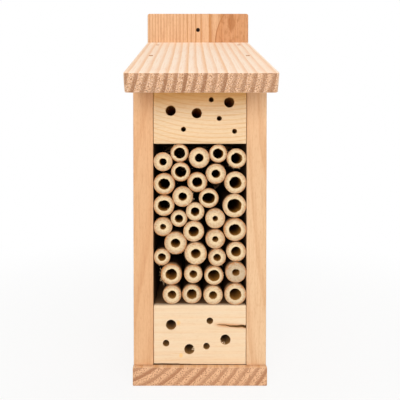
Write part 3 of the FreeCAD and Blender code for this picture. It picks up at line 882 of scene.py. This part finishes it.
class BEE_HOUSE_OT_drilled_blocks(bpy.types.Operator):
    """Drills the two nest blocks, cracks the lower one and leaves torn fibres at its holes"""

    bl_idname = "bee_house.drilled_blocks"
    bl_label = "Drilled blocks"

    # The fewest nest holes of a block, and the radius from which a hole counts as large
    FEWEST = 6
    LARGE = 2 * MM
    # Waves round the wall of a hole: how many, and how high as a part of the radius
    WAVES = ((3, 0.012), (7, 0.010), (13, 0.008))
    # The lower block's large holes with torn mouths, counted from the left, and the turn round the rim
    TEARS = ((1, 0.15), (2, 3.95))
    # Fibres at a torn mouth, and how far behind it their roots lie
    FIBRES = 5
    ROOT = 0.0005
    # The crack in millimetres: its tip, its height there, its fall to the side, its depth and its reach
    CRACK_TIP = 10.4
    CRACK_HEIGHT = 35.75
    CRACK_FALL = 1.2
    CRACK_DEPTH = 14.0
    CRACK_REACH = (33.0, 37.0)

    def execute(self, context):
        look = context.scene.bee_house.block
        stock = fibre_stock()
        upper = (look.upper_pale, look.upper_ring, look.upper_pale, look.upper_ring)
        block, low, high = self.block("upper", look, seed=17)
        wood = pine(
            "Upper block pine", upper, look.upper_width, grain="X", pith=(-75.0, 40.0), bow=(8.0, 0.0045),
            wander=3.0, start=0.58, depth=0.45, streaks=0.2,
            # Painted shade in the nest holes, under the eave and on the bottom face towards the canes.
            holes=Walls(mouth=look.drilled, deep=look.upper_hole_shade, reach=26.0),
            shade=Shade(height=177.0, tone=look.shade),
            cavity_shade=CavityShade(axis="Z", level=low.z / MM, colour=look.inside, near=0.6, far=8.0))
        hand_over(block, wood, "block_wood", *self.halves("upper"))
        lower = (look.lower_pale, look.lower_ring, look.lower_pale, look.lower_ring)
        block, low, high = self.block("lower", look, seed=29, stock=stock)
        wood = pine(
            "Lower block pine", lower, look.lower_width, grain="X", pith=(-70.0, 118.0),
            lean=(0.0, 0.015), wander=1.6, depth=0.4, streaks=0.22,
            # Painted shade in the nest holes and the crack, and on the top face towards the canes.
            holes=Walls(mouth=look.drilled, deep=look.deep, reach=13.0),
            cavity_shade=CavityShade(axis="Z", level=high.z / MM, colour=look.inside, near=1.4, far=5.0),
            resin=Resin(places=((-12.9, 37.0), (-11.4, 17.2)), colour=look.resin),
            stain=Stain(tip=self.CRACK_TIP, height=35.8, fall=0.07, tone=look.stain))
        hand_over(block, wood, "block_wood", *self.halves("lower"))
        bpy.data.objects.remove(stock)
        return {"FINISHED"}

    def halves(self, which):
        """The two CAD nodes of a block."""
        return [f"{which}_block_{side}" for side in ("left", "right")]

    def block(self, which, look, seed, stock=None):
        """One drilled block and its corners. With fibres in stock it is torn and cracked."""
        nodes = self.halves(which)
        corners = [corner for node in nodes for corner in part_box(node)]
        low = Vector([min(corner[axis] for corner in corners) for axis in range(3)])
        high = Vector([max(corner[axis] for corner in corners) for axis in range(3)])
        holes = self.nest_holes(nodes, low, high)
        if len(holes) < self.FEWEST:
            raise RuntimeError(f"{which} block: only {len(holes)} nest holes found.")
        block = box_piece(f"{which}_block_dressed", low, high)
        ease_edges(block, look.ease, before(high.y))
        part_edges(block, SIDEWAYS, least=0.03, cuts=30)
        part_edges(block, UPWARD, least=0.02, cuts=16)
        if stock:
            self.lift_edge(block, low, high)
        wear(block, lump=0.008, depth=1.6 * WEAR)
        dice = random.Random(seed)
        cut_away(block, join_all([self.drill(hole, low, high, dice) for hole in holes]))
        if stock:
            cut_away(block, self.crack(low, high, look.crack))
        # The crack's and the nest holes' walls are marked for painted shade.
        mark_dark(block, lambda face: self.in_crack(face, low)
                  or any(lines_hole(face, hole) for hole in holes))
        if stock:
            large = [hole for hole in holes if hole.radius > self.LARGE]
            torn = [fibre for count, side in self.TEARS
                    for fibre in self.torn(large[count], side, low, dice, stock)]
            block = join_all([block] + torn)
        return block, low, high

    def lift_edge(self, block, low, high):
        """Planes the lower front edge, most at the left, so that a gap shows over the floor board."""
        for share in (1.0, -0.2, -0.5):
            choose(block, "verts", lambda corner: corner.co.z < low.z + 0.9 * MM
                   and corner.co.x < high.x * share + MM and corner.co.y < low.y + 0.9 * MM)
            bpy.ops.transform.translate(value=(0.0, 0.0, 0.22 * MM))
            leave()

    def nest_holes(self, nodes, low, high):
        """The drilled holes from left to right, read from their rims on the CAD block's front."""
        edge = 0.7 * MM
        rims = []
        for vertex in [vertex for node in nodes for vertex in frame["nodes"][node].data.vertices]:
            spot = Vector((vertex.co.x, vertex.co.z))
            inside = low.x + edge < spot.x < high.x - edge and low.z + edge < spot.y < high.z - edge
            if inside and vertex.co.y < low.y + 0.01 * MM:
                near = [rim for rim in rims if any((spot - other).length < 0.9 * MM for other in rim)]
                rims = [rim for rim in rims if rim not in near]
                rims.append([spot] + [other for rim in near for other in rim])
        holes = []
        for rim in rims:
            left = min(spot.x for spot in rim)
            right = max(spot.x for spot in rim)
            bottom = min(spot.y for spot in rim)
            top = max(spot.y for spot in rim)
            holes.append(Hole((left + right) / 2, (bottom + top) / 2, (right - left) / 2))
        return sorted(holes)

    def drill(self, hole, low, high, dice):
        """A drill's shape right through the block, a little out of round."""
        across, height, radius = hole
        middle = (across, (low.y + high.y) / 2, height)
        wide = radius * (1.03 if radius > self.LARGE else 1.08)
        bit = rod_piece("drill", middle, wide, depth=high.y - low.y + 10 * MM, sides=40)
        part_edges(bit, BACKWARD, least=0.02, cuts=3)
        phases = [dice.uniform(0, math.tau) for _ in self.WAVES]
        for corner in bit.data.vertices:
            turn = math.atan2(corner.co.z - height, corner.co.x - across)
            swell = 1.0 + sum(part * math.sin(count * turn + phase)
                              for (count, part), phase in zip(self.WAVES, phases))
            corner.co.x = across + (corner.co.x - across) * swell
            corner.co.z = height + (corner.co.z - height) * swell
        return bit

    def crack(self, low, high, width):
        """The split at the right of the lower block: a thin wedge that wanders with the grain."""
        tip = self.CRACK_TIP * MM
        wedge = box_piece("crack", (tip, low.y - MM, -width / 2),
                          (high.x + MM, low.y + self.CRACK_DEPTH * MM, width / 2))
        choose(wedge, "verts", lambda corner: corner.co.x < tip + MM)
        bpy.ops.transform.resize(value=(1.0, 1.0, 0.12), center_override=(tip, low.y, 0.0))
        leave()
        part_edges(wedge, SIDEWAYS, least=0.005, cuts=16)
        for corner in wedge.data.vertices:
            share = (corner.co.x - tip) / (high.x - tip)
            bend = 0.25 * math.sin(9 * share) + 0.12 * math.sin(23 * share + 1)
            corner.co.z += (self.CRACK_HEIGHT - self.CRACK_FALL * share + bend) * MM
        return wedge

    def in_crack(self, face, low):
        """True for a face of the crack's two walls."""
        depth = (face.center.y - low.y) / MM
        height = face.center.z / MM
        bottom, top = self.CRACK_REACH
        inside = 0.3 < depth < self.CRACK_DEPTH + 1.0 and bottom < height < top
        return inside and abs(face.normal.z) > 0.8

    def torn(self, hole, side, low, dice, stock):
        """Pale torn fibres at one side of the mouth of a hole."""
        across, height, radius = hole
        fibres = []
        for _ in range(self.FIBRES):
            turn = side + dice.uniform(-0.5, 0.5)
            rim = Vector((math.cos(turn), 0.0, math.sin(turn)))
            root = Vector((across, low.y + self.ROOT, height)) + rim * radius
            inward = Vector((dice.uniform(-0.8, 0.8), dice.uniform(-0.1, 0.4), 0.0)) - rim
            reach = dice.uniform(0.6, 1.8) * MM
            fibres.append(sliver(stock, root, inward, reach, dice.uniform(0.16, 0.28) * MM, dice))
        return fibres


def fibre_stock():
    """A torn fibre to copy: a slim cone of height and radius 1, in three lengths."""
    only(None)
    bpy.ops.mesh.primitive_cone_add(
        vertices=4, radius1=1.0, radius2=0.25, depth=1.0, end_fill_type="NGON", location=(0.0, 0.0, 0.5))
    stock = fresh("fibre_stock")
    settle(stock)
    part_edges(stock, UPWARD, least=0.6, cuts=2)
    return stock


def sliver(stock, root, way, reach, thickness, dice):
    """A torn fibre drawn out from a root, bent a little."""
    fibre = copy_of(stock, "fibre")
    bend = dice.uniform(-0.35, 0.35) * reach / thickness
    for corner in fibre.data.vertices:
        corner.co.x += bend * corner.co.z * corner.co.z
    turn = UPWARD.rotation_difference(way.normalized()).to_matrix().to_4x4()
    size = Matrix.Diagonal((thickness, thickness * 0.6, reach, 1.0))
    fibre.data.transform(Matrix.Translation(root) @ turn @ size)
    return fibre


# Canes

# A cane's number, axis, outer radius and bore, and where it begins and ends along Y
Cane = namedtuple("Cane", "number axis outer bore front rear")


def bamboo(look):
    """Cane with a pale fibrous end and a brown skin, by each cane's own attributes, with painted shade deep
    in its bore and on its skin between the canes.
    """
    finish = Finish("Bamboo")
    depth = finish.place()[1] - FRONT
    sx, sz, seed = finish.parts(finish.own("spot"))
    bore, warm, age = finish.parts(finish.own("make"))
    reach = (sx * sx + sz * sz).root()
    wall = (reach - bore) / (1.0 - bore)
    lobes = finish.noise(finish.vector(sx * 1.6 + seed * 17.0, sz * 1.6, seed * 9.0), detail=2.0)
    around = finish.vector(sx / reach * 3.5, sz / reach * 3.5, reach * 8.0 + seed * 31.0)
    arcs = finish.noise(around, detail=2.0)
    dots = finish.noise(finish.vector(sx * 5.5, sz * 5.5, seed * 13.0), detail=2.0, roughness=0.7)
    lines = finish.noise(finish.vector(sx * 7.0, sz * 7.0, depth / 22.0 + seed * 5.0), detail=3.0)
    outward = (wall + (lobes - 0.5) * 0.7).rise(0.20, 0.80)
    end = finish.blend(outward * (0.45 + warm * 0.5), look.flesh, look.outer)
    end = finish.blend(age, end, look.grey)
    end = finish.blend(dots.rise(0.47, 0.64) * (0.2 + wall * 0.6), end, (0.74, 0.60, 0.47), "MULTIPLY")
    end = finish.blend(arcs.rise(0.50, 0.64) * (wall.rise(0.40, 0.85) * 0.55), end, look.edge)
    rim = reach + (arcs - 0.5) * 0.14 + (lobes - 0.5) * 0.16
    end = finish.blend(rim.rise(0.88, 0.97) * (0.3 + warm * 0.6), end, look.edge)
    skin = finish.blend(lines.rise(0.35, 0.7) * 0.6, look.skin, look.outer)
    skin = finish.blend(1.0 - depth.rise(0.5, 1.4), skin, look.edge)
    # Painted shade between the canes: the skin darkens behind the cut.
    skin = finish.blend(depth.rise(1.2, 7.0), skin, look.cavity_shade)
    # Painted shade in the bore: darker with depth.
    hollow = finish.blend(depth.rise(1.0, 22.0), look.bore, look.deep)
    flat = (0.0 - finish.facing()[1]).rise(0.08, 0.45)
    side = finish.blend(1.0 - wall.rise(0.10, 0.30), skin, hollow)
    cane = finish.blend(flat, side, end)
    finish.set(Base_Color=cane, Roughness=0.60 + dots * 0.25, Specular_IOR_Level=0.10)
    finish.relief(dots * 0.5 + arcs * 0.5, 0.00018, 0.7)
    return finish.material


class BEE_HOUSE_OT_bamboo_canes(bpy.types.Operator):
    """Cuts the bamboo canes from one stock cane, each a little out of round and with a torn end"""

    bl_idname = "bee_house.bamboo_canes"
    bl_label = "Bamboo canes"

    # Canes with a ragged side: the middle of the rag in degrees, and its longest fibre in millimetres
    RAGGED = {2: (140, 1.3), 4: (50, 1.2), 5: (-80, 1.3), 9: (-40, 1.1), 11: (-10, 1.9), 21: (-85, 1.2),
              25: (-80, 1.1), 26: (-60, 1.2), 27: (-145, 2.8), 28: (60, 1.0), 29: (30, 1.0)}
    # Canes that grew oval, and canes that are grey with age, with how much
    OVAL = {12: 0.10, 13: 0.07, 30: 0.06}
    WEATHERED = {30: 0.75, 34: 0.2, 32: 0.15}
    # Fibres at each saw cut, and on a ragged side besides
    FEW = 3
    MANY = 14
    # How far behind the saw cut a fibre's root lies at the rim and at the bore
    RIM_ROOT = 0.0012
    BORE_ROOT = 0.0005
    # The stock cane's bore, and the rounding of its rims, as parts of its radius
    BORE = 0.5
    BEVEL = 0.04
    # How far round the bore a nib reaches, in radians, and how deep a cane's uneven end goes
    NIB = 0.16
    END = 0.004

    def execute(self, context):
        look = context.scene.bee_house.cane
        if not CANES:
            raise RuntimeError("The frame has no canes.")
        material = bamboo(look)
        stock = self.stock()
        fibre = fibre_stock()
        for node in CANES:
            hand_over(self.cane(node, look, stock, fibre), material, "bamboo", node)
        bpy.data.objects.remove(stock)
        bpy.data.objects.remove(fibre)
        return {"FINISHED"}

    def stock(self):
        """A cane to copy, of radius and length 1, with a bore of half its width and a worn rim."""
        cane = rod_piece("cane_stock", (0.0, 0.5, 0.0), radius=1.0, depth=1.0, sides=48)
        choose(cane, "faces", lambda face: abs(face.normal.y) > 0.9)
        bpy.ops.mesh.inset(thickness=1.0 - self.BORE, use_individual=True)
        bpy.ops.mesh.bridge_edge_loops()
        leave()

        def on_front(edge, radius):
            spots = [(math.hypot(corner.co.x, corner.co.z), corner.co.y) for corner in edge.verts]
            return all(abs(spot - radius) < 0.02 and level < 0.01 for spot, level in spots)

        ease_edges(cane, self.BEVEL, lambda edge: on_front(edge, 1.0), steps=4)
        ease_edges(cane, self.BEVEL, lambda edge: on_front(edge, self.BORE))
        choose(cane, "faces", lambda face: face.normal.y < -0.9)
        bpy.ops.mesh.subdivide(number_cuts=1)
        leave()
        part_edges(cane, BACKWARD, least=0.4, cuts=5)
        return cane

    def cane(self, node, look, stock, fibre):
        """One cane, drawn from the stock to its own bore, width and length, and its torn fibres."""
        low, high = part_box(node)
        axis = (low + high) / 2
        points = frame["nodes"][node].data.vertices
        bore = min(math.hypot(point.co.x - axis.x, point.co.z - axis.z) for point in points)
        cane = Cane(int(node.split("_")[-1]), axis, (high.x - low.x) / 2, bore * (1.0 + look.widen),
                    low.y, high.y)
        dice = random.Random(100 + cane.number)
        piece = copy_of(stock, f"{node}_dressed")
        self.form(piece, cane, look, dice)
        hollow = cane.bore / cane.outer
        seed = cane.number / len(CANES)
        spots = [((corner.co.x - axis.x) / cane.outer, (corner.co.z - axis.z) / cane.outer, seed)
                 for corner in piece.data.vertices]
        self.tell(piece, spots, (hollow, dice.uniform(0.1, 0.9), self.WEATHERED.get(cane.number, 0.0)))
        fibres = self.fibres(cane, dice, fibre)
        for torn in fibres:
            spots = [((1.0 + hollow) / 2, 0.0, seed)] * len(torn.data.vertices)
            self.tell(torn, spots, (hollow, 0.3, 0.0))
        return join_all([piece] + fibres)

    def form(self, piece, cane, look, dice):
        """Gives the copy its place and size, an uneven section, nibs in the bore and a domed end."""
        phases = [dice.uniform(0, math.tau) for _ in range(6)]
        nibs = [(dice.uniform(0, math.tau), dice.uniform(0.02, 0.10)) for _ in range(3)]
        oval = self.OVAL.get(cane.number, dice.uniform(0.3, 1.0) * look.out_of_round)
        shaft = cane.rear - cane.front - look.rim
        for corner in piece.data.vertices:
            turn = math.atan2(corner.co.z, corner.co.x)
            share = min(max(math.hypot(corner.co.x, corner.co.z) * 2.0 - 1.0, 0.0), 1.0)
            inner = 1.0 + oval * math.cos(2 * turn)
            inner += 0.4 * look.out_of_round * math.sin(3 * turn + phases[1])
            for place, height in nibs:
                off = math.remainder(turn - place, math.tau)
                inner -= height * math.exp(-(off / self.NIB) ** 2)
            edge = 1.010 - 0.005 * math.sin(2 * turn + phases[3])
            edge -= 0.003 * math.sin(5 * turn + phases[4])
            radius = cane.bore * inner * (1.0 - share) + cane.outer * edge * share
            depth = min(corner.co.y / self.BEVEL, 1.0) * look.rim
            depth += max(corner.co.y - self.BEVEL, 0.0) / (1.0 - self.BEVEL) * shaft
            tilt = (0.10 + 0.08 * math.sin(2 * turn + phases[5])) * MM
            depth += max(1.0 - depth / self.END, 0.0) * (look.dome * share * share + tilt)
            corner.co = (cane.axis.x + radius * math.cos(turn), cane.front + depth,
                         cane.axis.z + radius * math.sin(turn))

    def tell(self, piece, spots, make):
        """Attributes that the finish reads: each corner's place in the section, wall, warmth and age."""
        for name, values in (("spot", spots), ("make", [make] * len(spots))):
            numbers = [number for value in values for number in value]
            piece.data.attributes.new(name, "FLOAT_VECTOR", "POINT").data.foreach_set("vector", numbers)

    def fibres(self, cane, dice, stock):
        """Torn fibres at the saw cut: a few round the rim and the bore, and many on a ragged side."""
        rag, longest = self.RAGGED.get(cane.number, (0, 0.0))
        turns = [(dice.uniform(0, math.tau), dice.uniform(0.3, 0.6), dice.random() < 0.6)
                 for _ in range(self.FEW)]
        if longest:
            for _ in range(self.MANY):
                turn = math.radians(rag) + dice.gauss(0.0, 0.45)
                turns.append((turn, dice.uniform(0.35, 1.0) * longest, True))
        fibres = []
        for turn, reach, outside in turns:
            radius = cane.outer * 0.95 if outside else cane.bore
            root = Vector((cane.axis.x + radius * math.cos(turn),
                           cane.front + (self.RIM_ROOT if outside else self.BORE_ROOT),
                           cane.axis.z + radius * math.sin(turn)))
            swing = turn + dice.uniform(-0.7, 0.7) + (0.0 if outside else math.pi)
            way = Vector((math.cos(swing), dice.uniform(-0.35, 0.2), math.sin(swing)))
            fibres.append(sliver(stock, root, way, reach * MM, dice.uniform(0.10, 0.20) * MM, dice))
        return fibres


# Brads


class BEE_HOUSE_OT_brads(bpy.types.Operator):
    """Gives the brads a dark brown wire finish, the painted shade of heads set in their slots"""

    bl_idname = "bee_house.brads"
    bl_label = "Brads"

    def execute(self, context):
        finish = Finish("Brad wire")
        x, y, z = finish.place()
        drawn = finish.noise(finish.vector(x * 6.0, y * 6.0, z * 6.0), detail=3.0)
        dull = finish.noise(finish.vector(x / 2.0, y / 2.0, z / 2.0), detail=1.0)
        # Painted shade: dark brown as heads set in their slots look, not a steel colour.
        metal = finish.blend(dull.rise(0.4, 0.7), (0.22, 0.12, 0.05), (0.13, 0.07, 0.03))
        finish.set(Base_Color=metal, Metallic=0.1, Roughness=0.65 + drawn * 0.3, Specular_IOR_Level=0.2)
        finish.relief(drawn, 0.00005, 0.4)
        if not BRADS:
            raise RuntimeError("The frame has no brads.")
        for node in BRADS:
            brads = frame["nodes"][node]
            brads.data.materials.clear()
            brads.data.materials.append(finish.material)
        return {"FINISHED"}


# Stage


class BEE_HOUSE_OT_stage(bpy.types.Operator):
    """Sets the pale floor, the soft light and the camera"""

    bl_idname = "bee_house.stage"
    bl_label = "Stage"

    WHITE = (1.0, 1.0, 1.0)
    # The floor's width, how far it lies under the house, and where its shadow fades, in millimetres
    WIDTH = 8.0
    UNDER = 0.0002
    FADE = (90.0, 420.0)
    # The sky's colour and strength, the lamps' colour, and where the lamps point
    SKY = (1.0, 0.985, 0.96)
    SOFT = 0.31
    LAMP = (1.0, 0.97, 0.93)
    AIM = Vector((0.0, 0.0, 0.12))
    # Each lamp's name, place, size and power
    LAMPS = (
        ("Key softbox", (-0.26, -1.15, 0.33), 0.60, 7.1),
        ("Fill softbox", (0.55, -1.05, 0.35), 0.90, 3.9),
        ("Top softbox", (0.0, -0.25, 1.25), 0.80, 4.7),
        ("Rear softbox", (0.30, 1.25, 0.60), 0.90, 4.5),
    )

    def execute(self, context):
        look = context.scene.bee_house.stage
        self.floor(look)
        self.light(context.scene)
        self.camera(context.scene, look)
        context.scene.view_settings.view_transform = "Standard"
        return {"FINISHED"}

    def floor(self, look):
        """A wide pale floor that stays white to the camera but keeps a soft shadow."""
        only(None)
        bpy.ops.mesh.primitive_plane_add(size=self.WIDTH, location=(0.0, 0.0, -self.UNDER))
        floor = fresh("floor")
        settle(floor)
        finish = Finish("Pale floor")
        x, y, z = finish.place()
        grain = finish.noise(finish.vector(x / 40.0, y / 40.0, z), detail=2.0)
        finish.set(Base_Color=finish.blend(grain * 0.06, look.floor, (0.80, 0.80, 0.80)), Roughness=0.9,
                   Specular_IOR_Level=0.0)
        away = (x * x + y * y).root().rise(*self.FADE)
        glow = finish.node("ShaderNodeEmission", sockets={"Color": self.WHITE, "Strength": 1.0})
        plain = Tone(finish, finish.shader.outputs[0])
        share = finish.seen() * (0.86 + away * 0.14)
        mixed = finish.node("ShaderNodeMixShader", sockets={0: share, 1: plain, 2: glow})
        finish.feed(finish.output.inputs["Surface"], mixed)
        floor.data.materials.append(finish.material)

    def light(self, scene):
        """A white world behind, and large soft lamps in front, above and at the back."""
        world = bpy.data.worlds.new("Studio")
        scene.world = world
        world.use_nodes = True
        sky = Nodes(world.node_tree)
        soft = sky.node("ShaderNodeBackground", sockets={"Color": self.SKY, "Strength": self.SOFT})
        white = sky.node("ShaderNodeBackground", sockets={"Color": self.WHITE, "Strength": 1.0})
        mixed = sky.node("ShaderNodeMixShader", sockets={0: sky.seen(), 1: soft, 2: white})
        sky.make("ShaderNodeOutputWorld", sockets={"Surface": mixed})
        for name, place, size, power in self.LAMPS:
            lamp = bpy.data.lights.new(name, "AREA")
            lamp.shape = "SQUARE"
            lamp.size = size
            lamp.energy = power
            lamp.color = self.LAMP
            turn = (self.AIM - Vector(place)).to_track_quat("-Z", "Y").to_euler()
            self.put(scene, name, lamp, place, turn)

    def camera(self, scene, look):
        """The camera at the photograph's view."""
        eye = bpy.data.cameras.new("View")
        eye.lens = look.lens
        eye.sensor_width = 36.0
        eye.shift_x = look.shift[0]
        eye.shift_y = look.shift[1]
        eye.clip_start = 0.01
        scene.camera = self.put(scene, "View", eye, look.stand, (math.pi / 2 - look.tilt, 0.0, 0.0))

    def put(self, scene, name, data, place, turn):
        """A lamp or the camera at its place in the scene."""
        stand = bpy.data.objects.new(name, data)
        scene.collection.objects.link(stand)
        stand.location = place
        stand.rotation_euler = turn
        return stand


# Panel and registration

OPERATORS = (
    BEE_HOUSE_OT_back_board,
    BEE_HOUSE_OT_roof_board,
    BEE_HOUSE_OT_side_boards,
    BEE_HOUSE_OT_floor_board,
    BEE_HOUSE_OT_drilled_blocks,
    BEE_HOUSE_OT_bamboo_canes,
    BEE_HOUSE_OT_brads,
    BEE_HOUSE_OT_stage,
)


class BEE_HOUSE_PT_panel(bpy.types.Panel):
    """Lists the pieces of the house"""

    bl_idname = "BEE_HOUSE_PT_panel"
    bl_label = "Bee house"
    bl_space_type = "VIEW_3D"
    bl_region_type = "UI"
    bl_category = "Bee House"

    def draw(self, context):
        column = self.layout.column(align=True)
        for operator in OPERATORS:
            column.operator(operator.bl_idname)


CLASSES = (BackTimber, RoofTimber, SideTimber, FloorTimber, BlockTimber, CaneLook, StageLook, BeeHouse,
           *OPERATORS, BEE_HOUSE_PT_panel)


def register():
    """Adds the classes and the scene's settings."""
    for item in CLASSES:
        bpy.utils.register_class(item)
    bpy.types.Scene.bee_house = bpy.props.PointerProperty(name="Bee house", type=BeeHouse)


def unregister():
    """Takes them away again."""
    del bpy.types.Scene.bee_house
    for item in reversed(CLASSES):
        bpy.utils.unregister_class(item)


def main():
    """Builds the whole house."""
    register()
    bpy.ops.bee_house.back_board()
    bpy.ops.bee_house.roof_board()
    bpy.ops.bee_house.side_boards()
    bpy.ops.bee_house.floor_board()
    bpy.ops.bee_house.drilled_blocks()
    bpy.ops.bee_house.bamboo_canes()
    bpy.ops.bee_house.brads()
    bpy.ops.bee_house.stage()
    only(None)


if __name__ == "__main__":
    main()
